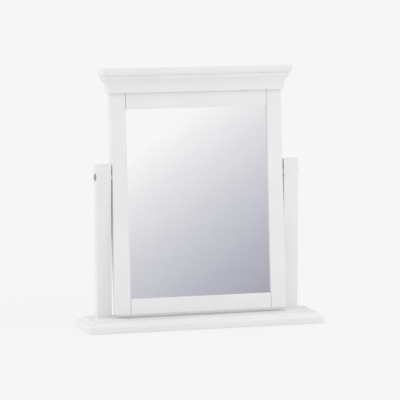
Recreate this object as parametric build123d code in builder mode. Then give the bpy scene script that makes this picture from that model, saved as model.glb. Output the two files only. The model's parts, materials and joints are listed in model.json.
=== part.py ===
from build123d import *
from math import cos, radians, sin
import os

# A dressing-table mirror: a framed glass with a cornice, which tilts on two bolts between
# two posts that stand on a moulded base board. It is left-right symmetrical.
# Millimetres. X runs left to right, Y from the front to the back, and Z up. The origin is
# on the table under the middle of the base.

# Base board and the felt pads under it
base_depth = 134.0
base_thickness = 26.0
base_end_overhang = 40.8  # base beyond each post
base_edge_round = 6.5  # quarter round along the rim
base_edge_hollow = 6.5  # quarter hollow between the round and the flat top
base_top_arris = 0.6  # edge of the flat top
base_foot_round = 1.5
pad_thickness = 2.0
pad_radius = 10.0
pad_inset = 26.0  # pad centre from the rim

# Posts
post_width = 37.0
post_depth = 25.0
post_back_margin = 24.5  # base behind each post
post_above_pivot = 31.0
arris = 0.7  # every sawn edge is eased this much under the paint

# Mirror frame, which turns about the pivot line
pivot_height = 345.0  # above the top of the base
base_clearance = 7.0  # bottom rail to base top when the frame is upright
rest_tilt = 5.0  # degrees that the top leans back at rest
frame_thickness = 25.0
stile_width = 38.0
stile_end_arris = 0.35
opening_width = 362.0
opening_height = 464.0
bottom_rail_height = 37.5
top_rail_show = 40.0  # top rail in sight below the cornice

# Cornice
cap_thickness = 18.0
cap_overhang = 24.0  # past the frame, at the front and at both ends
cap_upright = 7.0  # upright upper part of the cap's edge
cap_undercut = 3.0  # how far the lower part of the edge curves in
cap_corner_round = 2.0
cap_lip = 6.5  # edge of the cap past the moulding under it
cove_height = 42.5
cove_fillet_height = 8.0  # upright band under the cap
cove_foot_height = 16.0  # upright band at the foot
cove_foot_projection = 6.5
cove_hollow = 1.4  # depth of the hollow below its chord

# Glass and backing board, one behind the other in stepped rebates
glass_recess = 5.0  # face of the glass behind the face of the frame
glass_thickness = 4.0
glass_lap = 8.0  # rebate beyond the opening
backing_thickness = 5.0
backing_lap = 18.0
rebate_play = 1.0  # between each edge and its rebate
backing_screw_radius = 1.5
backing_screw_length = 12.0
backing_screw_head_radius = 3.0
backing_screw_head_height = 1.8
backing_screw_end_margin = 45.0  # end screws from the opening's corners
backing_screw_row_pitch = 181.0  # between the two screws along the top, and along the bottom

# Pivots: one bolt through each post into a threaded insert in the stile
bolt_radius = 3.0
bolt_head_radius = 8.75
bolt_head_height = 1.8
bolt_head_round = 0.8
bolt_socket_radius = 2.3  # hexagon, to its corners
bolt_socket_depth = 3.0
bolt_fit = 0.05  # radial play in the bush, the spacer and the insert
bush_radius = 5.0
spacer_radius = 9.0
spacer_thickness = 3.0
spacer_round = 0.4
side_play = 0.2  # head to post, and spacer to post
insert_radius = 4.75
insert_length = 14.0
bolt_in_insert = 13.0

# Dowels and post screws
dowel_radius = 3.0
rail_dowel_length = 40.0
bottom_dowel_pitch = 10.0
top_dowel_pitch = 32.0
cap_dowel_length = 30.0
cap_dowel_in_cap = 10.0
cap_dowel_pitch = 140.0
post_dowel_length = 32.0
post_dowel_in_base = 14.0
post_dowel_pitch = 22.0
post_screw_radius = 2.5
post_screw_length = 60.0
post_screw_head_radius = 5.0
post_screw_head_height = 3.0
post_screw_recess = 0.5

# Places that follow from the sizes above
frame_width = opening_width + 2 * stile_width
pivot_gap = spacer_thickness + side_play
post_x = frame_width / 2 + pivot_gap + post_width / 2
base_length = 2 * (post_x + post_width / 2 + base_end_overhang)
base_top = pad_thickness + base_thickness
post_y = base_depth / 2 - post_back_margin - post_depth / 2
post_height = pivot_height + post_above_pivot
pivot_z = base_top + pivot_height

# In the frame's own plane, heights are counted from the pivot line
frame_bottom = base_clearance - pivot_height
opening_bottom = frame_bottom + bottom_rail_height
opening_top = opening_bottom + opening_height
opening_middle = (opening_bottom + opening_top) / 2
cove_bottom = opening_top + top_rail_show
cap_bottom = cove_bottom + cove_height
top_rail_height = cap_bottom - opening_top
cove_top_projection = cap_overhang - cap_lip

right = Vector(1, 0, 0)
front = Vector(0, -cos(radians(rest_tilt)), sin(radians(rest_tilt)))
up = Vector(0, sin(radians(rest_tilt)), cos(radians(rest_tilt)))
pivot = Vector(0, post_y, pivot_z)

frame_middle = Plane(origin=pivot, x_dir=right, z_dir=front)
frame_back = frame_middle.offset(-frame_thickness / 2)
glass_back = frame_middle.offset(frame_thickness / 2 - glass_recess - glass_thickness)
backing_back = glass_back.offset(-backing_thickness)
front_axis = Axis(pivot, front)
up_axis = Axis(pivot, up)

os.makedirs("parts", exist_ok=True)


def on_frame(x, height, forward=0.0):
    """A point of the tilted frame, from its place seen from the front."""
    return pivot + right * x + up * height + front * forward


# ---------------------------------------------------------------- dowels and screws
# The dowels and screws come first, because the pieces that they join are drilled with them.
with BuildPart() as post_dowels:
    with BuildSketch(Plane.XY.offset(base_top - post_dowel_in_base)):
        with Locations((-post_x, post_y), (post_x, post_y)):
            with GridLocations(post_dowel_pitch, 0, 2, 1):
                Circle(dowel_radius)
    extrude(amount=post_dowel_length)
post_dowels.part.label = "post_dowels"
export_step(post_dowels.part, "parts/post_dowels.step")

with BuildPart() as post_screws:
    with Locations((-post_x, post_y, pad_thickness), (post_x, post_y, pad_thickness)):
        with Locations((0, 0, post_screw_recess)):
            Cone(
                post_screw_head_radius,
                post_screw_radius,
                post_screw_head_height,
                align=(Align.CENTER, Align.CENTER, Align.MIN),
            )
            Cylinder(
                post_screw_radius,
                post_screw_length,
                align=(Align.CENTER, Align.CENTER, Align.MIN),
            )
post_screws.part.label = "post_screws"
export_step(post_screws.part, "parts/post_screws.step")

# Two dowels across each corner of the frame, half in the rail and half in the stile
bottom_dowel_height = frame_bottom + (bottom_rail_height - backing_lap) / 2
top_dowel_height = cap_bottom - (top_rail_height - backing_lap) / 2

with BuildPart() as bottom_rail_dowels:
    for side in (-1, 1):
        joint = on_frame(side * opening_width / 2, bottom_dowel_height)
        with BuildSketch(Plane(origin=joint, x_dir=up, z_dir=right)):
            with GridLocations(bottom_dowel_pitch, 0, 2, 1):
                Circle(dowel_radius)
        extrude(amount=rail_dowel_length / 2, both=True)
bottom_rail_dowels.part.label = "bottom_rail_dowels"
export_step(bottom_rail_dowels.part, "parts/bottom_rail_dowels.step")

with BuildPart() as top_rail_dowels:
    for side in (-1, 1):
        joint = on_frame(side * opening_width / 2, top_dowel_height)
        with BuildSketch(Plane(origin=joint, x_dir=up, z_dir=right)):
            with GridLocations(top_dowel_pitch, 0, 2, 1):
                Circle(dowel_radius)
        extrude(amount=rail_dowel_length / 2, both=True)
top_rail_dowels.part.label = "top_rail_dowels"
export_step(top_rail_dowels.part, "parts/top_rail_dowels.step")

with BuildPart() as cap_dowels:
    foot = on_frame(0, cap_bottom + cap_dowel_in_cap - cap_dowel_length)
    with BuildSketch(Plane(origin=foot, x_dir=right, z_dir=up)):
        with GridLocations(cap_dowel_pitch, 0, 3, 1):
            Circle(dowel_radius)
    extrude(amount=cap_dowel_length)
cap_dowels.part.label = "cap_dowels"
export_step(cap_dowels.part, "parts/cap_dowels.step")

# Pan-head screws round the backing board, into the ledge between the two rebates
ledge_middle = (glass_lap + backing_lap) / 2
screw_columns = [-opening_width / 2 - ledge_middle, opening_width / 2 + ledge_middle]
screw_rows = [opening_bottom - ledge_middle, opening_top + ledge_middle]
screw_reach = opening_height / 2 - backing_screw_end_margin
screw_spots = [(x, opening_middle + y) for x in screw_columns for y in (-screw_reach, 0, screw_reach)]
screw_spots += [(side * backing_screw_row_pitch / 2, y) for side in (-1, 1) for y in screw_rows]

with BuildPart() as backing_screws:
    with BuildSketch(backing_back):
        with Locations(*screw_spots):
            Circle(backing_screw_head_radius)
    extrude(amount=-backing_screw_head_height)
    fillet(backing_screws.faces().group_by(front_axis)[0].edges(), radius=backing_screw_head_height / 2)
    with BuildSketch(backing_back):
        with Locations(*screw_spots):
            Circle(backing_screw_radius)
    extrude(amount=backing_screw_length)
backing_screws.part.label = "backing_screws"
export_step(backing_screws.part, "parts/backing_screws.step")

# ---------------------------------------------------------------- base board and pads
# The rim is an ogee, a quarter round under a quarter hollow, and it is mitred at the corners.
def base_section(width, across):
    """Section of the base board with its moulded rim, seen across its width."""
    rim_height = base_thickness - base_edge_hollow - base_edge_round
    shoulder_reach = width / 2 - base_edge_round
    field_reach = shoulder_reach - base_edge_hollow
    upright = Plane(origin=(0, 0, pad_thickness), x_dir=across, z_dir=across.cross(Vector(0, 0, 1)))
    with BuildSketch(upright) as section:
        with BuildLine():
            Line((-width / 2, 0), (width / 2, 0))
            for side in (-1, 1):
                rim = (side * width / 2, rim_height)
                shoulder = (side * shoulder_reach, rim_height + base_edge_round)
                Line((side * width / 2, 0), rim)
                TangentArc(rim, shoulder, tangent=(0, 1))
                TangentArc(shoulder, (side * field_reach, base_thickness), tangent=(-side, 0))
            Line((-field_reach, base_thickness), (field_reach, base_thickness))
        make_face()
        fillet(section.vertices().group_by(Axis.Y)[0], radius=base_foot_round)
        fillet(section.vertices().group_by(Axis.Y)[-1], radius=base_top_arris)
    return section.sketch


with BuildPart() as base_board:
    extrude(base_section(base_depth, Vector(0, 1, 0)), amount=base_length, both=True)
    extrude(base_section(base_length, Vector(1, 0, 0)), amount=base_depth, both=True, mode=Mode.INTERSECT)
    with Locations((-post_x, post_y, pad_thickness), (post_x, post_y, pad_thickness)):
        Cylinder(
            post_screw_head_radius,
            post_screw_recess,
            align=(Align.CENTER, Align.CENTER, Align.MIN),
            mode=Mode.SUBTRACT,
        )
    add(post_dowels.part, mode=Mode.SUBTRACT)
    add(post_screws.part, mode=Mode.SUBTRACT)
base_board.part.label = "base_board"
export_step(base_board.part, "parts/base_board.step")

with BuildPart() as felt_pads:
    with BuildSketch():
        with GridLocations(base_length - 2 * pad_inset, base_depth - 2 * pad_inset, 2, 2):
            Circle(pad_radius)
    extrude(amount=pad_thickness)
felt_pads.part.label = "felt_pads"
export_step(felt_pads.part, "parts/felt_pads.step")

# ---------------------------------------------------------------- posts and pivot bushes
# Each post is square-sawn with a flat top, and is bored across for a sleeve bush.
for side, hand in ((-1, "left"), (1, "right")):
    bore_plane = Plane(origin=(side * post_x, post_y, pivot_z), x_dir=(0, 1, 0), z_dir=(1, 0, 0))

    with BuildPart() as post:
        with BuildSketch(Plane.XY.offset(base_top)):
            with Locations((side * post_x, post_y)):
                Rectangle(post_width, post_depth)
        extrude(amount=post_height)
        fillet(post.edges().filter_by(Axis.Z) + post.faces().sort_by(Axis.Z)[-1].edges(), radius=arris)
        with BuildSketch(bore_plane):
            Circle(bush_radius)
        extrude(amount=post_width / 2, both=True, mode=Mode.SUBTRACT)
        add(post_dowels.part, mode=Mode.SUBTRACT)
        add(post_screws.part, mode=Mode.SUBTRACT)
    post.part.label = f"{hand}_post"
    export_step(post.part, f"parts/{hand}_post.step")

    with BuildPart() as pivot_bush:
        with BuildSketch(bore_plane):
            Circle(bush_radius)
            Circle(bolt_radius + bolt_fit, mode=Mode.SUBTRACT)
        extrude(amount=post_width / 2, both=True)
    pivot_bush.part.label = f"{hand}_pivot_bush"
    export_step(pivot_bush.part, f"parts/{hand}_pivot_bush.step")

# ---------------------------------------------------------------- pivot bolts
# Seen along each bolt from outside: head, post, spacer, then the insert in the stile.
for side, hand in ((-1, "left"), (1, "right")):
    outward = right * side
    stile_face = Plane(origin=on_frame(side * frame_width / 2, 0), x_dir=front, z_dir=outward)
    head_seat = stile_face.offset(pivot_gap + post_width + side_play)

    with BuildPart() as threaded_insert:
        with BuildSketch(stile_face):
            Circle(insert_radius)
            Circle(bolt_radius + bolt_fit, mode=Mode.SUBTRACT)
        extrude(amount=-insert_length)
    threaded_insert.part.label = f"{hand}_insert"
    export_step(threaded_insert.part, f"parts/{hand}_insert.step")

    with BuildPart() as spacer:
        with BuildSketch(stile_face):
            Circle(spacer_radius)
            Circle(bolt_radius + bolt_fit, mode=Mode.SUBTRACT)
        extrude(amount=spacer_thickness)
        fillet(spacer.edges().filter_by(GeomType.CIRCLE).sort_by(SortBy.RADIUS)[-2:], radius=spacer_round)
    spacer.part.label = f"{hand}_spacer"
    export_step(spacer.part, f"parts/{hand}_spacer.step")

    with BuildPart() as pivot_bolt:
        with BuildSketch(head_seat):
            Circle(bolt_head_radius)
        extrude(amount=bolt_head_height)
        fillet(pivot_bolt.faces().sort_by(Axis(pivot, outward))[-1].edges(), radius=bolt_head_round)
        with BuildSketch(head_seat):
            Circle(bolt_radius)
        extrude(amount=-(side_play + post_width + pivot_gap + bolt_in_insert))
        with BuildSketch(head_seat.offset(bolt_head_height)):
            RegularPolygon(bolt_socket_radius, 6)
        extrude(amount=-bolt_socket_depth, mode=Mode.SUBTRACT)
    pivot_bolt.part.label = f"{hand}_pivot_bolt"
    export_step(pivot_bolt.part, f"parts/{hand}_pivot_bolt.step")

# ---------------------------------------------------------------- frame
# The stepped recess that is cut from the back of the frame for the glass and its board
with BuildPart() as rebates:
    with BuildSketch(frame_back):
        with Locations((0, opening_middle)):
            Rectangle(opening_width + 2 * glass_lap, opening_height + 2 * glass_lap)
    extrude(amount=frame_thickness - glass_recess)
    with BuildSketch(frame_back):
        with Locations((0, opening_middle)):
            Rectangle(opening_width + 2 * backing_lap, opening_height + 2 * backing_lap)
    extrude(amount=frame_thickness - glass_recess - glass_thickness)

# The stiles run the whole height, up to the cap, and the rails fit between them.
for side, hand in ((-1, "left"), (1, "right")):
    with BuildPart() as stile:
        with BuildSketch(frame_back):
            with Locations((side * (frame_width - stile_width) / 2, (frame_bottom + cap_bottom) / 2)):
                Rectangle(stile_width, cap_bottom - frame_bottom)
        extrude(amount=frame_thickness)
        fillet(stile.faces().sort_by(front_axis)[-1].edges().filter_by(up_axis), radius=arris)
        fillet(stile.faces().sort_by(front_axis)[0].edges().filter_by(up_axis), radius=arris)
        fillet(stile.faces().sort_by(up_axis)[0].edges(), radius=stile_end_arris)
        add(rebates.part, mode=Mode.SUBTRACT)
        add(bottom_rail_dowels.part, mode=Mode.SUBTRACT)
        add(top_rail_dowels.part, mode=Mode.SUBTRACT)
        add(backing_screws.part, mode=Mode.SUBTRACT)
        with BuildSketch(Plane(origin=on_frame(side * frame_width / 2, 0), x_dir=front, z_dir=right * side)):
            Circle(insert_radius)
        extrude(amount=-insert_length, mode=Mode.SUBTRACT)
    stile.part.label = f"{hand}_stile"
    export_step(stile.part, f"parts/{hand}_stile.step")

with BuildPart() as bottom_rail:
    with BuildSketch(frame_back):
        with Locations((0, (frame_bottom + opening_bottom) / 2)):
            Rectangle(opening_width, bottom_rail_height)
    extrude(amount=frame_thickness)
    fillet(bottom_rail.faces().sort_by(front_axis)[-1].edges(), radius=arris)
    fillet(bottom_rail.faces().sort_by(front_axis)[0].edges(), radius=arris)
    add(rebates.part, mode=Mode.SUBTRACT)
    add(bottom_rail_dowels.part, mode=Mode.SUBTRACT)
    add(backing_screws.part, mode=Mode.SUBTRACT)
bottom_rail.part.label = "bottom_rail"
export_step(bottom_rail.part, "parts/bottom_rail.step")

with BuildPart() as top_rail:
    with BuildSketch(frame_back):
        with Locations((0, (opening_top + cap_bottom) / 2)):
            Rectangle(opening_width, top_rail_height)
    extrude(amount=frame_thickness)
    fillet(top_rail.faces().sort_by(front_axis)[-1].edges(), radius=arris)
    fillet(top_rail.faces().sort_by(front_axis)[0].edges(), radius=arris)
    add(rebates.part, mode=Mode.SUBTRACT)
    add(top_rail_dowels.part, mode=Mode.SUBTRACT)
    add(cap_dowels.part, mode=Mode.SUBTRACT)
    add(backing_screws.part, mode=Mode.SUBTRACT)
top_rail.part.label = "top_rail"
export_step(top_rail.part, "parts/top_rail.step")

# ---------------------------------------------------------------- cornice
# The cap is a board over the whole frame, flush with its back. Its front and its ends are
# upright above, and curve in below.
cap_knee = cap_thickness - cap_upright
cap_back = -frame_thickness / 2
cap_face = frame_thickness / 2 + cap_overhang
cap_end = frame_width / 2 + cap_overhang

with BuildPart() as cornice_cap:
    with BuildSketch(Plane(origin=on_frame(0, cap_bottom), x_dir=front, z_dir=-right)) as across:
        with BuildLine():
            Polyline((cap_face, cap_knee), (cap_face, cap_thickness), (cap_back, cap_thickness))
            Polyline((cap_back, cap_thickness), (cap_back, 0), (cap_face - cap_undercut, 0))
            TangentArc((cap_face, cap_knee), (cap_face - cap_undercut, 0), tangent=(0, -1))
        make_face()
        levels = across.vertices().group_by(Axis.Y)
        fillet([levels[0].sort_by(Axis.X)[-1], levels[-1].sort_by(Axis.X)[-1]], radius=cap_corner_round)
    extrude(amount=frame_width, both=True)
    with BuildSketch(Plane(origin=on_frame(0, cap_bottom), x_dir=right, z_dir=front)) as along:
        with BuildLine():
            Line((-cap_end, cap_thickness), (cap_end, cap_thickness))
            for side in (-1, 1):
                knee = (side * cap_end, cap_knee)
                Line((side * cap_end, cap_thickness), knee)
                TangentArc(knee, (side * (cap_end - cap_undercut), 0), tangent=(0, -1))
            Line((cap_undercut - cap_end, 0), (cap_end - cap_undercut, 0))
        make_face()
        levels = along.vertices().group_by(Axis.Y)
        fillet(levels[0] + levels[-1], radius=cap_corner_round)
    extrude(amount=frame_width, both=True, mode=Mode.INTERSECT)
    add(cap_dowels.part, mode=Mode.SUBTRACT)
cornice_cap.part.label = "cornice_cap"
export_step(cornice_cap.part, "parts/cornice_cap.step")


def cove_section(plane):
    """Section of the cove moulding: x is out from the frame, and y is up from its foot."""
    foot = (cove_foot_projection, cove_foot_height)
    head = (cove_top_projection, cove_height - cove_fillet_height)
    chord = Vector(*head) - Vector(*foot)
    middle = (Vector(*head) + Vector(*foot)) / 2 + Vector(-chord.Y, chord.X).normalized() * cove_hollow
    with BuildSketch(plane) as section:
        with BuildLine():
            Polyline(foot, (cove_foot_projection, 0), (0, 0), (0, cove_height))
            Polyline((0, cove_height), (cove_top_projection, cove_height), head)
            ThreePointArc(head, middle, foot)
        make_face()
    return section.sketch


# The cove runs across the front and returns along both ends, with mitred corners.
cove_corner = frame_thickness / 2 + cove_top_projection
left_mitre = Plane(origin=on_frame(-frame_width / 2, 0, frame_thickness / 2), z_dir=front + right)
right_mitre = Plane(origin=on_frame(frame_width / 2, 0, frame_thickness / 2), z_dir=front - right)

with BuildPart() as cove_front:
    section_place = on_frame(0, cove_bottom, frame_thickness / 2)
    section = cove_section(Plane(origin=section_place, x_dir=front, z_dir=-right))
    extrude(section, amount=frame_width / 2 + cove_top_projection, both=True)
    split(bisect_by=left_mitre, keep=Keep.TOP)
    split(bisect_by=right_mitre, keep=Keep.TOP)
cove_front.part.label = "cove_front"
export_step(cove_front.part, "parts/cove_front.step")

with BuildPart() as cove_left:
    section_place = on_frame(-frame_width / 2, cove_bottom, cove_corner)
    section = cove_section(Plane(origin=section_place, x_dir=-right, z_dir=-front))
    extrude(section, amount=frame_thickness + cove_top_projection)
    split(bisect_by=left_mitre, keep=Keep.BOTTOM)
cove_left.part.label = "cove_left"
export_step(cove_left.part, "parts/cove_left.step")

with BuildPart() as cove_right:
    section_place = on_frame(frame_width / 2, cove_bottom, -frame_thickness / 2)
    section = cove_section(Plane(origin=section_place, x_dir=right, z_dir=front))
    extrude(section, amount=frame_thickness + cove_top_projection)
    split(bisect_by=right_mitre, keep=Keep.BOTTOM)
cove_right.part.label = "cove_right"
export_step(cove_right.part, "parts/cove_right.step")

# ---------------------------------------------------------------- glass and backing board
with BuildPart() as mirror_glass:
    with BuildSketch(glass_back):
        with Locations((0, opening_middle)):
            Rectangle(
                opening_width + 2 * (glass_lap - rebate_play),
                opening_height + 2 * (glass_lap - rebate_play),
            )
    extrude(amount=glass_thickness)
mirror_glass.part.label = "mirror_glass"
export_step(mirror_glass.part, "parts/mirror_glass.step")

with BuildPart() as backing_board:
    with BuildSketch(backing_back):
        with Locations((0, opening_middle)):
            Rectangle(
                opening_width + 2 * (backing_lap - rebate_play),
                opening_height + 2 * (backing_lap - rebate_play),
            )
    extrude(amount=backing_thickness)
    add(backing_screws.part, mode=Mode.SUBTRACT)
backing_board.part.label = "backing_board"
export_step(backing_board.part, "parts/backing_board.step")
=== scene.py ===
import json
from math import cos, pi, radians, sin

import bmesh
import bpy
from mathutils import Matrix, Vector


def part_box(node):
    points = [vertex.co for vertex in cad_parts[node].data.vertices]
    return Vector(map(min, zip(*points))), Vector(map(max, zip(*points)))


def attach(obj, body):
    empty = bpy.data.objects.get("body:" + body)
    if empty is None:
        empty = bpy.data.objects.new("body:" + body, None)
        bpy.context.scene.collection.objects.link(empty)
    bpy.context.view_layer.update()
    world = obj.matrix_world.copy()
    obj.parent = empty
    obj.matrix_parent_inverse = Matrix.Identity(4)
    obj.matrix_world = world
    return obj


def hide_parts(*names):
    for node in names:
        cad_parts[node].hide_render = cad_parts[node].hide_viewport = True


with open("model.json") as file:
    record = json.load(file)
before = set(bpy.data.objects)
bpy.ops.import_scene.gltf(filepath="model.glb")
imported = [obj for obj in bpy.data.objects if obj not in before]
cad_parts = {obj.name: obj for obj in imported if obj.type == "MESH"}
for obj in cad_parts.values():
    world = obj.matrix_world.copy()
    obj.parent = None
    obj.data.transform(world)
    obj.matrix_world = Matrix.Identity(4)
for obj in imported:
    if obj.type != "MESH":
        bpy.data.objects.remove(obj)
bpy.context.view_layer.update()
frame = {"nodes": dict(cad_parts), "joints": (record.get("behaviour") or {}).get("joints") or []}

# ---------------------------------------------------------------- base board
# The foot is one planed softwood board with a moulded rim. Like all the wooden pieces it is
# filled, primed and sprayed with satin white paint, which shows a fine orange peel and, very
# faintly, the grain under it. The screws that hold the posts come up through it.
PAINT_WHITE = (0.845, 0.845, 0.843)
PAINT_SHADE = (0.815, 0.815, 0.815)
PAINT_ROUGHNESS = (0.38, 0.46)
NOISE_ROUGHNESS = 0.55
CLOUD_CELLS = 9  # cells per metre, as for every pattern
GRAIN_CELLS = 300
GRAIN_STRETCH = 0.03  # how slowly the grain changes along the board
GRAIN_HEIGHT = 0.00002
PEEL_CELLS = 450
PEEL_HEIGHT = 0.00001


def set_sockets(node, **values):
    """Set a node's unlinked sockets by name, with an underscore for each space."""
    for name, value in values.items():
        node.inputs[name.replace("_", " ")].default_value = value


def node_of(tree, kind):
    """The one node of a kind in a tree."""
    return next(node for node in tree.nodes if node.type == kind)


def new_finish(name):
    """A material, its node tree and its shader."""
    material = bpy.data.materials.new(name)
    material.use_nodes = True
    tree = material.node_tree
    return material, tree, node_of(tree, "BSDF_PRINCIPLED")


def noise_at(tree, place, cells, detail, stretch=(1, 1, 1)):
    """A noise pattern's factor: cells per metre, times the stretch along each axis."""
    squeeze = tree.nodes.new("ShaderNodeMapping")
    set_sockets(squeeze, Scale=[cells * part for part in stretch])
    tree.links.new(place, squeeze.inputs["Vector"])
    pattern = tree.nodes.new("ShaderNodeTexNoise")
    set_sockets(pattern, Scale=1.0, Detail=detail, Roughness=NOISE_ROUGHNESS)
    tree.links.new(squeeze.outputs["Vector"], pattern.inputs["Vector"])
    return pattern.outputs["Fac"]


def ramp_between(tree, factor, low, high, start=0.3, end=0.7):
    """A colour that goes from low to high as the factor goes from start to end."""
    ramp = tree.nodes.new("ShaderNodeValToRGB")
    ramp.color_ramp.elements[0].position = start
    ramp.color_ramp.elements[0].color = (*low, 1)
    ramp.color_ramp.elements[1].position = end
    ramp.color_ramp.elements[1].color = (*high, 1)
    tree.links.new(factor, ramp.inputs["Fac"])
    return ramp.outputs["Color"]


def value_between(tree, factor, low, high, start=0.3, end=0.7):
    """A number that goes from low to high as the factor goes from start to end."""
    spread = tree.nodes.new("ShaderNodeMapRange")
    set_sockets(spread, From_Min=start, From_Max=end, To_Min=low, To_Max=high)
    tree.links.new(factor, spread.inputs["Value"])
    return spread.outputs["Result"]


def relief(tree, shader, *layers):
    """Stack bumps on the shader, each a pattern and its height in metres."""
    below = None
    for factor, height in layers:
        bump = tree.nodes.new("ShaderNodeBump")
        set_sockets(bump, Strength=1.0, Distance=height)
        tree.links.new(factor, bump.inputs["Height"])
        if below:
            tree.links.new(below, bump.inputs["Normal"])
        below = bump.outputs["Normal"]
    tree.links.new(below, shader.inputs["Normal"])


def own_place(tree, pose=None):
    """The point on the piece, in metres, as it lies before the pose is given to it."""
    place = tree.nodes.new("ShaderNodeTexCoord").outputs["Object"]
    if pose is None:
        return place
    back = tree.nodes.new("ShaderNodeMapping")
    back.vector_type = "TEXTURE"
    set_sockets(back, Location=pose.to_translation(), Rotation=pose.to_euler())
    tree.links.new(place, back.inputs["Vector"])
    return back.outputs["Vector"]


def painted_wood(name, grain_axis, pose=None):
    """Satin white paint on wood whose grain runs along one axis of the piece."""
    material, tree, shader = new_finish(name)
    place = own_place(tree, pose)
    stretch = [GRAIN_STRETCH if axis == grain_axis else 1 for axis in "XYZ"]
    grain = noise_at(tree, place, GRAIN_CELLS, 4, stretch)
    peel = noise_at(tree, place, PEEL_CELLS, 2)
    cloud = noise_at(tree, place, CLOUD_CELLS, 3)
    tree.links.new(ramp_between(tree, cloud, PAINT_SHADE, PAINT_WHITE), shader.inputs["Base Color"])
    tree.links.new(value_between(tree, grain, *PAINT_ROUGHNESS), shader.inputs["Roughness"])
    relief(tree, shader, (grain, GRAIN_HEIGHT), (peel, PEEL_HEIGHT))
    return material


def finish_node(node, material):
    """Give a CAD node its material."""
    piece = frame["nodes"][node]
    piece.data.materials.clear()
    piece.data.materials.append(material)


finish_node("base_board", painted_wood("base_paint", "X"))

# ---------------------------------------------------------------- felt pads
# Four discs of pressed wool felt, 20 mm across and 2 mm thick, are stuck under the base near
# its corners. Their cut rims are a little soft and hairy.
PAD_RADIUS = 0.010
PAD_THICKNESS = 0.002
PAD_ROUND = 0.0004
FIBRE_ROOM = 0.0002  # left for the fibres round the rim
FELT_LIGHT = (0.74, 0.73, 0.71)
FELT_DARK = (0.60, 0.59, 0.57)
FELT_ROUGHNESS = 0.95
FELT_SHEEN = 0.3
TUFT_CELLS = 500
TUFT_HEIGHT = 0.0003
FIBRE_CELLS = 2200
FIBRE_STRETCH = (1, 0.35, 1)
FIBRE_HEIGHT = 0.0002


def start_from(add_primitive, **where):
    """Deselect everything, add a primitive and return it in edit mode, with nothing selected."""
    bpy.ops.object.select_all(action="DESELECT")
    add_primitive(**where)
    bpy.ops.object.mode_set(mode="EDIT")
    bpy.ops.mesh.select_mode(type="FACE")
    bpy.ops.mesh.select_all(action="DESELECT")
    return bpy.context.object


def pick_faces(wanted):
    """In edit mode, select just the faces whose normal passes the test."""
    bpy.ops.mesh.select_all(action="DESELECT")
    mesh = bmesh.from_edit_mesh(bpy.context.object.data)
    for face in mesh.faces:
        if wanted(face.normal):
            face.select_set(True)
    bmesh.update_edit_mesh(bpy.context.object.data)


def faces_up(normal):
    """Whether a face looks straight up."""
    return normal.z > 0.9


def faces_down(normal):
    """Whether a face looks straight down."""
    return normal.z < -0.9


def settle(piece, name, pose=None):
    """Leave edit mode, put the piece in its pose and bake its place into its mesh."""
    if bpy.context.mode != "OBJECT":
        bpy.ops.object.mode_set(mode="OBJECT")
    if pose is not None:
        piece.matrix_world = pose @ piece.matrix_world
    bpy.ops.object.select_all(action="DESELECT")
    piece.select_set(True)
    bpy.context.view_layer.objects.active = piece
    bpy.ops.object.transform_apply(location=True, rotation=True, scale=True)
    piece.name = name
    piece.data.name = name


def copies_at(piece, moves):
    """Copy a finished piece by each move, each with its own mesh, and join them all to one."""
    extra = []
    for move in moves:
        twin = piece.copy()
        twin.data = piece.data.copy()
        twin.data.transform(Matrix.Translation(move))
        bpy.context.scene.collection.objects.link(twin)
        extra.append(twin)
    bpy.ops.object.select_all(action="DESELECT")
    for twin in extra:
        twin.select_set(True)
    piece.select_set(True)
    bpy.context.view_layer.objects.active = piece
    bpy.ops.object.join()


pads_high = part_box("felt_pads")[1]
pad_x = pads_high.x - PAD_RADIUS
pad_y = pads_high.y - PAD_RADIUS
pad = start_from(
    bpy.ops.mesh.primitive_cylinder_add,
    vertices=64,
    radius=PAD_RADIUS - FIBRE_ROOM,
    depth=PAD_THICKNESS,
    location=(-pad_x, -pad_y, PAD_THICKNESS / 2),
)
pick_faces(lambda normal: not faces_up(normal) and not faces_down(normal))
bpy.ops.mesh.subdivide(number_cuts=3)
pick_faces(lambda normal: faces_up(normal) or faces_down(normal))
bpy.ops.mesh.bevel(offset=PAD_ROUND, segments=3, affect="EDGES")
bpy.ops.object.mode_set(mode="OBJECT")
bpy.ops.object.shade_smooth_by_angle(angle=radians(50))
settle(pad, "wool_pads")
copies_at(pad, [(2 * pad_x, 0, 0), (0, 2 * pad_y, 0), (2 * pad_x, 2 * pad_y, 0)])

felt, tree, shader = new_finish("pressed_felt")
place = own_place(tree)
fibres = noise_at(tree, place, FIBRE_CELLS, 4, FIBRE_STRETCH)
tufts = noise_at(tree, place, TUFT_CELLS, 3)
tree.links.new(ramp_between(tree, tufts, FELT_DARK, FELT_LIGHT), shader.inputs["Base Color"])
set_sockets(shader, Roughness=FELT_ROUGHNESS, Sheen_Weight=FELT_SHEEN)
relief(tree, shader, (tufts, TUFT_HEIGHT), (fibres, FIBRE_HEIGHT))
pad.data.materials.append(felt)
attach(pad, "stand")
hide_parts("felt_pads")

# ---------------------------------------------------------------- posts
# Two square-sawn uprights, painted as the base is, with their grain upright. Each stands on
# the base on two glued dowels and is bored across for the pivot.
upright_paint = painted_wood("post_paint", "Z")
finish_node("left_post", upright_paint)
finish_node("right_post", upright_paint)

# ---------------------------------------------------------------- post dowels
# Fluted beech dowels, bare and glued in, two at the foot of each post. Beech is a pinkish
# buff with short darker flecks along its grain.
BEECH_LIGHT = (0.62, 0.43, 0.27)
BEECH_DARK = (0.47, 0.29, 0.16)
BEECH_ROUGHNESS = (0.55, 0.72)
BEECH_STRETCH = 0.05
BEECH_FIBRE_CELLS = 900
BEECH_FIBRE_HEIGHT = 0.00006
FLECK_CELLS = 7200
FLECK_HEIGHT = 0.00002


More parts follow.
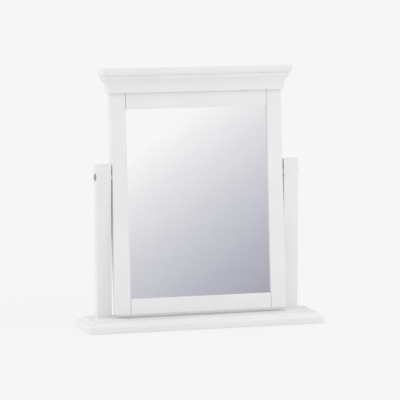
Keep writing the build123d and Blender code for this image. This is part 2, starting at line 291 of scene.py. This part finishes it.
def bare_beech(name, grain_axis, pose=None):
    """Bare beech whose grain runs along one axis of the piece."""
    material, tree, shader = new_finish(name)
    place = own_place(tree, pose)
    stretch = [BEECH_STRETCH if axis == grain_axis else 1 for axis in "XYZ"]
    fibre = noise_at(tree, place, BEECH_FIBRE_CELLS, 4, stretch)
    fleck = noise_at(tree, place, FLECK_CELLS, 2, stretch)
    tree.links.new(ramp_between(tree, fibre, BEECH_DARK, BEECH_LIGHT), shader.inputs["Base Color"])
    tree.links.new(value_between(tree, fleck, *BEECH_ROUGHNESS), shader.inputs["Roughness"])
    relief(tree, shader, (fibre, BEECH_FIBRE_HEIGHT), (fleck, FLECK_HEIGHT))
    return material


finish_node("post_dowels", bare_beech("upright_beech", "Z"))

# ---------------------------------------------------------------- post screws
# One zinc-plated countersunk screw comes up through the base into each post. Its head has a
# cross recess and lies just under the surface of the board.
SCREW_HEAD_RADIUS = 0.005
SCREW_HEAD_HEIGHT = 0.003
SCREW_RIM = 0.0004  # upright edge of the head
SCREW_EDGE_ROUND = 0.0001
SCREW_SHANK_RADIUS = 0.0025
SCREW_POINT = 0.006
POINT_SHARE = 0.08  # width of the point's end, of the shank's
RECESS_SPAN = 0.0052
RECESS_SLOT = 0.0011
RECESS_DEPTH = 0.0018
BLADE_TAPER = (0.35, 0.7, 1)  # inner end of a recess blade, of its outer end
ZINC_LIGHT = (0.66, 0.67, 0.68)
ZINC_DARK = (0.50, 0.51, 0.53)
ZINC_ROUGHNESS = (0.28, 0.42)
BLOOM_CELLS = 700
SCRATCH_CELLS = 2500
SCRATCH_STRETCH = (1, 0.1, 1)
SCRATCH_HEIGHT = 0.00001


def lengthen(distance, share=1.0):
    """Pull the selected face up by a distance, and make it a share of its width."""
    bpy.ops.mesh.extrude_region_move(TRANSFORM_OT_translate={"value": (0, 0, distance)})
    bpy.ops.transform.resize(value=(share, share, 1))


def add_modifier(piece, kind, **settings):
    """Add a modifier with its settings and apply it."""
    modifier = piece.modifiers.new(kind.lower(), kind)
    for name, value in settings.items():
        setattr(modifier, name, value)
    bpy.ops.object.modifier_apply(modifier=modifier.name)


def cut_cross(piece, place, span, slot, depth):
    """Cut a cross recess into a head that faces down, with two blades that narrow inwards."""
    for turn in (0, pi / 2):
        blade = start_from(bpy.ops.mesh.primitive_cube_add, size=1)
        pick_faces(faces_up)
        bpy.ops.transform.resize(value=BLADE_TAPER)
        bpy.ops.object.mode_set(mode="OBJECT")
        size = Matrix.Diagonal((span, slot, 2 * depth, 1))
        blade.matrix_world = Matrix.Translation(place) @ Matrix.Rotation(turn, 4, "Z") @ size
        bpy.ops.object.select_all(action="DESELECT")
        bpy.context.view_layer.objects.active = piece
        add_modifier(piece, "BOOLEAN", object=blade, operation="DIFFERENCE", solver="EXACT")
        bpy.data.objects.remove(blade)


screws_low, screws_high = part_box("post_screws")
screw_length = screws_high.z - screws_low.z
screw_x = screws_high.x - SCREW_HEAD_RADIUS
screw_y = (screws_low.y + screws_high.y) / 2
screw = start_from(
    bpy.ops.mesh.primitive_cylinder_add,
    vertices=48,
    radius=SCREW_HEAD_RADIUS,
    depth=SCREW_RIM,
    location=(-screw_x, screw_y, screws_low.z + SCREW_RIM / 2),
)
pick_faces(faces_up)
lengthen(SCREW_HEAD_HEIGHT - SCREW_RIM, SCREW_SHANK_RADIUS / SCREW_HEAD_RADIUS)
lengthen(screw_length - SCREW_HEAD_HEIGHT - SCREW_POINT)
lengthen(SCREW_POINT, POINT_SHARE)
bpy.ops.object.mode_set(mode="OBJECT")
cut_cross(screw, (-screw_x, screw_y, screws_low.z), RECESS_SPAN, RECESS_SLOT, RECESS_DEPTH)
edge_angle = radians(35)
add_modifier(
    screw, "BEVEL", width=SCREW_EDGE_ROUND, segments=2, limit_method="ANGLE", angle_limit=edge_angle
)
bpy.ops.object.shade_smooth_by_angle(angle=radians(40))
settle(screw, "foot_screws")
copies_at(screw, [(2 * screw_x, 0, 0)])

zinc, tree, shader = new_finish("zinc_plate")
place = own_place(tree)
bloom = noise_at(tree, place, BLOOM_CELLS, 3)
scratch = noise_at(tree, place, SCRATCH_CELLS, 2, SCRATCH_STRETCH)
tree.links.new(ramp_between(tree, bloom, ZINC_DARK, ZINC_LIGHT), shader.inputs["Base Color"])
set_sockets(shader, Metallic=1.0)
tree.links.new(value_between(tree, bloom, *ZINC_ROUGHNESS), shader.inputs["Roughness"])
relief(tree, shader, (scratch, SCRATCH_HEIGHT))
screw.data.materials.append(zinc)
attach(screw, "stand")
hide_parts("post_screws")

# ---------------------------------------------------------------- pivot bushes
# A white nylon sleeve lines the bore through each post, and the bolt turns in it. The lathe
# that cut the sleeve has left fine rings on it.
NYLON_LIGHT = (0.83, 0.83, 0.80)
NYLON_DARK = (0.76, 0.76, 0.73)
NYLON_ROUGHNESS = (0.40, 0.52)
HAZE_CELLS = 260
NYLON_RING_CELLS = 1500
NYLON_RING_STRETCH = (1, 0.2, 0.2)
NYLON_RING_HEIGHT = 0.00002

nylon, tree, shader = new_finish("white_nylon")
place = own_place(tree)
haze = noise_at(tree, place, HAZE_CELLS, 3)
turning = noise_at(tree, place, NYLON_RING_CELLS, 2, NYLON_RING_STRETCH)
tree.links.new(ramp_between(tree, haze, NYLON_DARK, NYLON_LIGHT), shader.inputs["Base Color"])
tree.links.new(value_between(tree, haze, *NYLON_ROUGHNESS), shader.inputs["Roughness"])
relief(tree, shader, (turning, NYLON_RING_HEIGHT))
finish_node("left_pivot_bush", nylon)
finish_node("right_pivot_bush", nylon)

# ---------------------------------------------------------------- stiles and rails
# The mirror's frame: two stiles that run its whole height, and two rails that fit between
# them, glued on dowels. It leans back 5 degrees on the pivot line. The paint has parted along
# the shoulder of each rail; the shade inside each hairline gap is painted as a dark line on the rail's
# ends.
REST_LEAN = radians(5)
# Painted shade: near black, for the shadow inside each parted joint.
JOINT_GAP_SHADE = (0.05, 0.05, 0.05)
JOINT_SHADE_WIDTH = 0.0006
JOINT_SHADE_FADE = 0.00012  # between clean paint and the painted joint shade

pivot = Vector(frame["joints"][0]["pos_m"])
LEANING = Matrix.Translation(pivot) @ Matrix.Rotation(-REST_LEAN, 4, "X")


def leaning_box(node):
    """Corners of a node of the mirror as it would be upright, with the pivot as its origin."""
    upright = LEANING.inverted()
    spots = [upright @ vertex.co for vertex in frame["nodes"][node].data.vertices]
    low = Vector([min(spot[axis] for spot in spots) for axis in range(3)])
    high = Vector([max(spot[axis] for spot in spots) for axis in range(3)])
    return low, high


def worked_out(tree, operation, first, second=None):
    """A maths node's result, from a node's output and another output or a fixed number."""
    step = tree.nodes.new("ShaderNodeMath")
    step.operation = operation
    tree.links.new(first, step.inputs[0])
    if isinstance(second, float):
        step.inputs[1].default_value = second
    elif second is not None:
        tree.links.new(second, step.inputs[1])
    return step.outputs["Value"]


rail_high = leaning_box("bottom_rail")[1]
stile_paint = painted_wood("stile_paint", "Z", LEANING)
finish_node("left_stile", stile_paint)
finish_node("right_stile", stile_paint)

rail_paint = painted_wood("rail_paint", "X", LEANING)
tree = rail_paint.node_tree
shader = node_of(tree, "BSDF_PRINCIPLED")
paint_colour = shader.inputs["Base Color"].links[0].from_socket
along = tree.nodes.new("ShaderNodeSeparateXYZ")
tree.links.new(own_place(tree, LEANING), along.inputs["Vector"])
outward = worked_out(tree, "ABSOLUTE", along.outputs["X"])
# Painted shade: a near-black line on both ends of each rail, where the joint's gap lies in shadow.
joint_shade_start = rail_high.x - JOINT_SHADE_WIDTH
joint_shade = value_between(tree, outward, 0, 1, joint_shade_start - JOINT_SHADE_FADE, joint_shade_start)
joint_shade_mix = tree.nodes.new("ShaderNodeMix")
joint_shade_mix.data_type = "RGBA"
tree.links.new(joint_shade, joint_shade_mix.inputs["Factor"])
tree.links.new(paint_colour, joint_shade_mix.inputs["A"])
joint_shade_mix.inputs["B"].default_value = (*JOINT_GAP_SHADE, 1)
tree.links.new(joint_shade_mix.outputs["Result"], shader.inputs["Base Color"])
finish_node("top_rail", rail_paint)
finish_node("bottom_rail", rail_paint)

# ---------------------------------------------------------------- frame dowels
# Two beech dowels lie across each corner of the frame, half in the rail and half in the
# stile. They are glued in before the paint and never seen.
across_beech = bare_beech("across_beech", "X", LEANING)
finish_node("top_rail_dowels", across_beech)
finish_node("bottom_rail_dowels", across_beech)

# ---------------------------------------------------------------- threaded inserts
# A turned brass insert with an M6 thread is driven into the edge of each stile at the pivot.
# It has the fine rings of the lathe, and has tarnished a little.
BRASS_LIGHT = (0.70, 0.53, 0.26)
BRASS_DARK = (0.52, 0.37, 0.16)
BRASS_ROUGHNESS = (0.24, 0.38)
TARNISH_CELLS = 600
BRASS_RING_CELLS = 4000
BRASS_RING_STRETCH = (1, 0.05, 0.05)
BRASS_RING_HEIGHT = 0.00001

brass, tree, shader = new_finish("turned_brass")
place = own_place(tree)
tarnish = noise_at(tree, place, TARNISH_CELLS, 3)
turning = noise_at(tree, place, BRASS_RING_CELLS, 1, BRASS_RING_STRETCH)
tree.links.new(ramp_between(tree, tarnish, BRASS_DARK, BRASS_LIGHT), shader.inputs["Base Color"])
set_sockets(shader, Metallic=1.0)
tree.links.new(value_between(tree, tarnish, *BRASS_ROUGHNESS), shader.inputs["Roughness"])
relief(tree, shader, (turning, BRASS_RING_HEIGHT))
finish_node("left_insert", brass)
finish_node("right_insert", brass)

# ---------------------------------------------------------------- cornice
# A cap board, whose edge curves in below, lies over the whole frame on three upright dowels. A
# cove moulding is glued under it along the front and back along both ends, with mitred corners.
finish_node("cornice_cap", painted_wood("cap_paint", "X", LEANING))
finish_node("cove_front", painted_wood("cove_paint", "X", LEANING))
return_paint = painted_wood("return_paint", "Y", LEANING)
finish_node("cove_left", return_paint)
finish_node("cove_right", return_paint)
finish_node("cap_dowels", bare_beech("leaning_beech", "Z", LEANING))

# ---------------------------------------------------------------- mirror glass
# A pane of 4 mm float glass, silvered and painted on its back, lies in a rebate behind the
# frame. Its edges are ground with a small arris, and it has no bevel.
GROUND_ARRIS = 0.0006
SILVER_LIGHT = (0.93, 0.93, 0.95)
SILVER_DARK = (0.92, 0.92, 0.94)
SILVER_ROUGHNESS = (0.0, 0.012)
BREATH_CELLS = 14
GLASS_EDGE_LIGHT = (0.42, 0.56, 0.50)
GLASS_EDGE_DARK = (0.30, 0.44, 0.38)
GLASS_EDGE_ROUGHNESS = (0.25, 0.45)
GRIT_CELLS = 1600
GRIT_HEIGHT = 0.00002
BACK_PAINT_LIGHT = (0.34, 0.36, 0.37)
BACK_PAINT_DARK = (0.28, 0.30, 0.31)
BACK_PAINT_ROUGHNESS = (0.5, 0.65)
BRUSH_CELLS = 220
BRUSH_STRETCH = (0.05, 1, 1)
BRUSH_HEIGHT = 0.00002
FLAT_ON = 0.99  # how squarely the pane's front and back face along the depth

pane_low, pane_high = leaning_box("mirror_glass")
pane = start_from(
    bpy.ops.mesh.primitive_cube_add,
    size=1,
    location=(pane_low + pane_high) / 2,
    scale=pane_high - pane_low,
)
bpy.ops.object.mode_set(mode="OBJECT")
bpy.ops.object.transform_apply(location=True, rotation=True, scale=True)
add_modifier(pane, "BEVEL", width=GROUND_ARRIS, segments=2, limit_method="ANGLE")

silver, tree, shader = new_finish("silvered_glass")
place = own_place(tree, LEANING)
breath = noise_at(tree, place, BREATH_CELLS, 3)
tree.links.new(ramp_between(tree, breath, SILVER_DARK, SILVER_LIGHT), shader.inputs["Base Color"])
set_sockets(shader, Metallic=1.0)
tree.links.new(value_between(tree, breath, *SILVER_ROUGHNESS), shader.inputs["Roughness"])

ground, tree, shader = new_finish("ground_glass_edge")
place = own_place(tree, LEANING)
grit = noise_at(tree, place, GRIT_CELLS, 3)
edge_colour = ramp_between(tree, grit, GLASS_EDGE_DARK, GLASS_EDGE_LIGHT)
tree.links.new(edge_colour, shader.inputs["Base Color"])
tree.links.new(value_between(tree, grit, *GLASS_EDGE_ROUGHNESS), shader.inputs["Roughness"])
relief(tree, shader, (grit, GRIT_HEIGHT))

back_paint, tree, shader = new_finish("mirror_back_paint")
place = own_place(tree, LEANING)
brushed = noise_at(tree, place, BRUSH_CELLS, 4, BRUSH_STRETCH)
back_colour = ramp_between(tree, brushed, BACK_PAINT_DARK, BACK_PAINT_LIGHT)
tree.links.new(back_colour, shader.inputs["Base Color"])
tree.links.new(value_between(tree, brushed, *BACK_PAINT_ROUGHNESS), shader.inputs["Roughness"])
relief(tree, shader, (brushed, BRUSH_HEIGHT))

for finish in (silver, ground, back_paint):
    pane.data.materials.append(finish)
for face in pane.data.polygons:
    facing = face.normal.y
    face.material_index = 0 if facing < -FLAT_ON else 2 if facing > FLAT_ON else 1
settle(pane, "silvered_pane", LEANING)
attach(pane, "mirror")
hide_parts("mirror_glass")

# ---------------------------------------------------------------- backing board
# A 5 mm fibre board with a white face closes the back, in its own wider rebate. Its pulp shows
# as a fine tooth and a faint mottle.
BOARD_LIGHT = (0.78, 0.77, 0.75)
BOARD_DARK = (0.75, 0.74, 0.72)
BOARD_ROUGHNESS = (0.62, 0.75)
MOTTLE_CELLS = 40
PULP_CELLS = 900
PULP_HEIGHT = 0.00004

board_face, tree, shader = new_finish("white_fibre_board")
place = own_place(tree, LEANING)
pulp = noise_at(tree, place, PULP_CELLS, 4)
mottle = noise_at(tree, place, MOTTLE_CELLS, 4)
tree.links.new(ramp_between(tree, mottle, BOARD_DARK, BOARD_LIGHT), shader.inputs["Base Color"])
tree.links.new(value_between(tree, pulp, *BOARD_ROUGHNESS), shader.inputs["Roughness"])
relief(tree, shader, (pulp, PULP_HEIGHT))
finish_node("backing_board", board_face)

# ---------------------------------------------------------------- backing screws
# Ten zinc-plated pan-head screws hold the backing board: three up each side, and two along
# the top and the bottom.
PAN_HEAD_RADIUS = 0.003
PAN_HEAD_HEIGHT = 0.0018
PAN_ROUND = 0.00099
PAN_SHANK_RADIUS = 0.0015
PAN_POINT_LENGTH = 0.3  # share of the shank that tapers to the point
PAN_POINT_SHARE = 0.1  # width of the point's end, of the shank's
PAN_END_MARGIN = 0.045  # end screws from the corners of the opening
PAN_RECESS_SPAN = 0.0034
PAN_RECESS_SLOT = 0.0008
PAN_RECESS_DEPTH = 0.0011

spots_low, spots_high = leaning_box("backing_screws")
column = spots_high.x - PAN_HEAD_RADIUS
bottom_row = spots_low.z + PAN_HEAD_RADIUS
top_row = spots_high.z - PAN_HEAD_RADIUS
opening_half = rail_high.x
row_inset = column - opening_half
middle_row = (bottom_row + top_row) / 2
side_reach = (top_row - bottom_row) / 2 - row_inset - PAN_END_MARGIN
head_back = spots_high.y
pan_turn = Matrix.Rotation(pi / 2, 4, "X")  # modelled head down, then laid along the depth

pan = start_from(
    bpy.ops.mesh.primitive_cylinder_add,
    vertices=40,
    radius=PAN_HEAD_RADIUS,
    depth=PAN_HEAD_HEIGHT,
    location=(0, 0, PAN_HEAD_HEIGHT / 2),
)
pick_faces(faces_down)
bpy.ops.mesh.bevel(offset=PAN_ROUND, segments=5, affect="EDGES")
pick_faces(faces_up)
bpy.ops.mesh.inset(thickness=PAN_HEAD_RADIUS - PAN_SHANK_RADIUS)
shank = spots_high.y - spots_low.y - PAN_HEAD_HEIGHT
lengthen(shank * (1 - PAN_POINT_LENGTH))
lengthen(shank * PAN_POINT_LENGTH, PAN_POINT_SHARE)
bpy.ops.object.mode_set(mode="OBJECT")
cut_cross(pan, (0, 0, 0), PAN_RECESS_SPAN, PAN_RECESS_SLOT, PAN_RECESS_DEPTH)
bpy.ops.object.shade_smooth_by_angle(angle=radians(40))

sides = (-1, 1)
screw_places = [(side * column, middle_row + step * side_reach) for side in sides for step in (-1, 0, 1)]
screw_places += [(side * opening_half / 2, row) for side in sides for row in (bottom_row, top_row)]
seats = [Vector((x, head_back, z)) for x, z in screw_places]
settle(pan, "board_screws", LEANING @ Matrix.Translation(seats[0]) @ pan_turn)
turned = LEANING.to_3x3()
copies_at(pan, [turned @ (seat - seats[0]) for seat in seats[1:]])
pan.data.materials.append(zinc)
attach(pan, "mirror")
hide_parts("backing_screws")

# ---------------------------------------------------------------- spacers
# A nylon washer keeps each stile 3 mm from its post, and the post rubs on it as the frame
# tilts. It is the same white nylon as the sleeves.
finish_node("left_spacer", nylon)
finish_node("right_spacer", nylon)

# ---------------------------------------------------------------- pivot bolts
# A pewter-plated furniture bolt passes through each post into the insert. Its wide thin head
# has a rounded rim and a 4 mm hexagon socket, and shows on the outside of the post.
HEAD_HEIGHT = 0.0018
HEAD_ROUND = 0.0008
BOLT_RADIUS = 0.003
SOCKET_RADIUS = 0.0023
SOCKET_DEPTH = 0.003
PEWTER_LIGHT = (0.50, 0.495, 0.49)
PEWTER_DARK = (0.40, 0.395, 0.39)
PEWTER_ROUGHNESS = (0.30, 0.42)
PATINA_CELLS = 500
PEWTER_RING_CELLS = 6000
PEWTER_RING_HEIGHT = 0.000015
ACROSS_BOLT = (0, 1, 1)


def vector_step(tree, operation, first, second=(0, 0, 0)):
    """A vector maths node, from a node's output and, where it needs two, a fixed vector."""
    step = tree.nodes.new("ShaderNodeVectorMath")
    step.operation = operation
    tree.links.new(first, step.inputs[0])
    step.inputs[1].default_value = second
    return step


pewter, tree, shader = new_finish("pewter_plate")
place = own_place(tree, Matrix.Translation(pivot))
spread = vector_step(tree, "MULTIPLY", place, ACROSS_BOLT)
radius = vector_step(tree, "LENGTH", spread.outputs["Vector"])
rings = tree.nodes.new("ShaderNodeCombineXYZ")
tree.links.new(radius.outputs["Value"], rings.inputs["X"])
turned_lines = noise_at(tree, rings.outputs["Vector"], PEWTER_RING_CELLS, 2)
patina = noise_at(tree, place, PATINA_CELLS, 3)
tree.links.new(ramp_between(tree, patina, PEWTER_DARK, PEWTER_LIGHT), shader.inputs["Base Color"])
set_sockets(shader, Metallic=1.0)
tree.links.new(value_between(tree, patina, *PEWTER_ROUGHNESS), shader.inputs["Roughness"])
relief(tree, shader, (turned_lines, PEWTER_RING_HEIGHT))

for side, hand in ((-1, "left"), (1, "right")):
    bolt_low, bolt_high = leaning_box(f"{hand}_pivot_bolt")
    head_radius = bolt_high.z
    bolt_length = bolt_high.x - bolt_low.x
    bolt = start_from(
        bpy.ops.mesh.primitive_cylinder_add,
        vertices=64,
        radius=head_radius,
        depth=HEAD_HEIGHT,
        location=(0, 0, -HEAD_HEIGHT / 2),
    )
    pick_faces(faces_up)
    bpy.ops.mesh.bevel(offset=HEAD_ROUND, segments=5, affect="EDGES")
    pick_faces(faces_down)
    bpy.ops.mesh.inset(thickness=head_radius - BOLT_RADIUS)
    lengthen(HEAD_HEIGHT - bolt_length)
    bpy.ops.mesh.bevel(offset=HEAD_ROUND, segments=2, affect="EDGES")
    bpy.ops.object.mode_set(mode="OBJECT")
    key = start_from(
        bpy.ops.mesh.primitive_cylinder_add, vertices=6, radius=SOCKET_RADIUS, depth=2 * SOCKET_DEPTH
    )
    bpy.ops.object.mode_set(mode="OBJECT")
    bpy.ops.object.select_all(action="DESELECT")
    bpy.context.view_layer.objects.active = bolt
    add_modifier(bolt, "BOOLEAN", object=key, operation="DIFFERENCE", solver="EXACT")
    bpy.data.objects.remove(key)
    bpy.ops.object.shade_smooth_by_angle(angle=radians(35))
    outside = Vector((side * max(abs(bolt_low.x), abs(bolt_high.x)), 0, 0))
    facing_out = Matrix.Rotation(side * pi / 2, 4, "Y")
    settle(bolt, f"{hand}_tilt_bolt", LEANING @ Matrix.Translation(outside) @ facing_out)
    bolt.data.materials.append(pewter)
    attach(bolt, "mirror")
    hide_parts(f"{hand}_pivot_bolt")

# ---------------------------------------------------------------- floor and backdrop
# A white floor and surround. The floor keeps the object's soft shadow near it, and both are
# plain background to the camera and to what the metal and the glass reflect.
BACKGROUND = (0.922, 0.922, 0.922, 1)
FLOOR_SIZE = 60
FLOOR_WHITE = (0.88, 0.88, 0.88, 1)
SHADOW_SHARE = 0.15  # how much of the floor's own shading shows near the object
SHADOW_NEAR = 0.5  # metres from the middle where that share starts to fade
SHADOW_FAR = 1.5
DOME_STRENGTH = 0.785


def shown_rays(tree):
    """One for camera, glossy and transmission rays, and zero for the rays that light things."""
    path = tree.nodes.new("ShaderNodeLightPath")
    seen = worked_out(tree, "MAXIMUM", path.outputs["Is Camera Ray"], path.outputs["Is Glossy Ray"])
    return worked_out(tree, "MAXIMUM", seen, path.outputs["Is Transmission Ray"])


def mixed(tree, factor, first, second):
    """The first shader where the factor is zero, and the second where it is one."""
    blend = tree.nodes.new("ShaderNodeMixShader")
    tree.links.new(factor, blend.inputs["Fac"])
    tree.links.new(first, blend.inputs[1])
    tree.links.new(second, blend.inputs[2])
    return blend.outputs["Shader"]


bpy.ops.object.select_all(action="DESELECT")
bpy.ops.mesh.primitive_plane_add(size=FLOOR_SIZE)
floor = bpy.context.object
floor.name = "floor"
floor_white, tree, shader = new_finish("floor_white")
set_sockets(shader, Base_Color=FLOOR_WHITE, Roughness=1.0, Specular_IOR_Level=0.0)
reach = vector_step(tree, "LENGTH", own_place(tree))
fade = tree.nodes.new("ShaderNodeMapRange")
fade.interpolation_type = "SMOOTHSTEP"
set_sockets(fade, From_Min=SHADOW_NEAR, From_Max=SHADOW_FAR, To_Min=1 - SHADOW_SHARE)
tree.links.new(reach.outputs["Value"], fade.inputs["Value"])
share = worked_out(tree, "MULTIPLY", fade.outputs["Result"], shown_rays(tree))
plain = tree.nodes.new("ShaderNodeEmission")
set_sockets(plain, Color=BACKGROUND)
seen_floor = mixed(tree, share, shader.outputs["BSDF"], plain.outputs["Emission"])
tree.links.new(seen_floor, node_of(tree, "OUTPUT_MATERIAL").inputs["Surface"])
floor_white.cycles.emission_sampling = "NONE"
floor.data.materials.append(floor_white)

world = bpy.data.worlds.new("studio")
bpy.context.scene.world = world
world.use_nodes = True
tree = world.node_tree
dome = node_of(tree, "BACKGROUND")
set_sockets(dome, Color=(1, 1, 1, 1), Strength=DOME_STRENGTH)
backdrop = tree.nodes.new("ShaderNodeBackground")
set_sockets(backdrop, Color=BACKGROUND, Strength=1.0)
sky = mixed(tree, shown_rays(tree), dome.outputs["Background"], backdrop.outputs["Background"])
tree.links.new(sky, node_of(tree, "OUTPUT_WORLD").inputs["Surface"])

# ---------------------------------------------------------------- studio tent
# A round glowing wall, which is no lamp and which only reflections show: a painted reflection,
# in which the mirror sees it go from white to a lavender grey along a slope, and back again.
TENT_RADIUS = 1.7
TENT_MIDDLE = (0, 0.0166, 0.3054)
TENT_SLOPE = (-0.557, -0.133, 0.82)  # towards the lighter side
TENT_DARKEST = -0.42  # metres up the slope from the tent's middle
TENT_HALF_WAVE = 0.8  # metres from the darkest to the lightest place
# Tones of the painted reflection, from darkest to lightest.
TENT_GLOW_TONES = [
    (0.0, (0.363, 0.363, 0.407)),
    (0.25, (0.512, 0.512, 0.575)),
    (0.5, (0.695, 0.695, 0.727)),
    (0.82, (1.0, 1.0, 0.979)),
]

bpy.ops.object.select_all(action="DESELECT")
bpy.ops.mesh.primitive_uv_sphere_add(segments=96, ring_count=48, radius=TENT_RADIUS, location=TENT_MIDDLE)
tent = bpy.context.object
tent.name = "studio_tent"
tent.visible_camera = False
tent.visible_diffuse = False
tent.visible_transmission = False
tent.visible_volume_scatter = False
tent.visible_shadow = False
# Painted reflection: the wall glows with these tones, lights nothing, and only glossy rays see it.
tent_reflection_glow, tree, shader = new_finish("tent_reflection_glow")
climb = vector_step(tree, "DOT_PRODUCT", own_place(tree), TENT_SLOPE)
above_darkest = worked_out(tree, "SUBTRACT", climb.outputs["Value"], TENT_DARKEST)
wave = worked_out(tree, "PINGPONG", above_darkest, TENT_HALF_WAVE)
tones = tree.nodes.new("ShaderNodeValToRGB")
for stop_and_tone in TENT_GLOW_TONES[1:-1]:
    tones.color_ramp.elements.new(stop_and_tone[0])
for stop, (position, tone) in zip(tones.color_ramp.elements, TENT_GLOW_TONES):
    stop.position = position
    stop.color = (*tone, 1)
tree.links.new(value_between(tree, wave, 0, 1, 0, TENT_HALF_WAVE), tones.inputs["Fac"])
glow = tree.nodes.new("ShaderNodeEmission")
tree.links.new(tones.outputs["Color"], glow.inputs["Color"])
tree.links.new(glow.outputs["Emission"], node_of(tree, "OUTPUT_MATERIAL").inputs["Surface"])
tent_reflection_glow.cycles.emission_sampling = "NONE"
tent.data.materials.append(tent_reflection_glow)

# ---------------------------------------------------------------- lamps
# Three wide soft lamps shine from the sides and from above. A nearer round one hangs high in
# front of the object on the right, and is aimed at its middle.
WIDE_LAMPS = {  # the way each shines, and its strength
    "right_lamp": (Vector((-0.85, 0.35, -0.40)), 0.212),
    "left_lamp": (Vector((0.93, -0.05, -0.35)), 0.781),
    "top_lamp": (Vector((0.0, 0.25, -1.0)), 0.265),
}
WIDE_LAMP_SPREAD = radians(70)
NEAR_LAMP_SIZE = 1.2
NEAR_LAMP_WATTS = 5.05
NEAR_LAMP_PLACE = Vector((1.5, -1.0, 1.35))
NEAR_LAMP_AIM = Vector((0, 0, 0.35))


def hang_lamp(name, kind, strength, towards):
    """Hang a lamp of a kind and strength that shines along a direction."""
    lamp = bpy.data.objects.new(name, bpy.data.lights.new(name, kind))
    bpy.context.scene.collection.objects.link(lamp)
    lamp.data.energy = strength
    lamp.rotation_euler = towards.to_track_quat("-Z", "Y").to_euler()
    return lamp


for name, (towards, strength) in WIDE_LAMPS.items():
    wide_lamp = hang_lamp(name, "SUN", strength, towards)
    wide_lamp.data.angle = WIDE_LAMP_SPREAD

near_lamp = hang_lamp("near_lamp", "AREA", NEAR_LAMP_WATTS, NEAR_LAMP_AIM - NEAR_LAMP_PLACE)
near_lamp.data.shape = "DISK"
near_lamp.data.size = NEAR_LAMP_SIZE
near_lamp.location = NEAR_LAMP_PLACE

# ---------------------------------------------------------------- camera
# The photograph's camera: 17 degrees to the object's left and 7 degrees above it, far away
# with a long lens.
AZIMUTH = radians(17.1)
ELEVATION = radians(7.12)
DISTANCE = 7.317
AIM = Vector((-0.0012, 0.0, 0.3117))
FOCAL_SHARE = 7.4465  # focal length over the picture's width
SENSOR = 36.0  # millimetres

look = Vector((sin(AZIMUTH) * cos(ELEVATION), cos(AZIMUTH) * cos(ELEVATION), -sin(ELEVATION)))
camera = bpy.data.objects.new("camera", bpy.data.cameras.new("camera"))
bpy.context.scene.collection.objects.link(camera)
camera.location = AIM - look * DISTANCE
camera.rotation_euler = look.to_track_quat("-Z", "Y").to_euler()
camera.data.sensor_width = SENSOR
camera.data.lens = FOCAL_SHARE * SENSOR
bpy.context.scene.camera = camera
bpy.context.scene.view_settings.view_transform = "Standard"
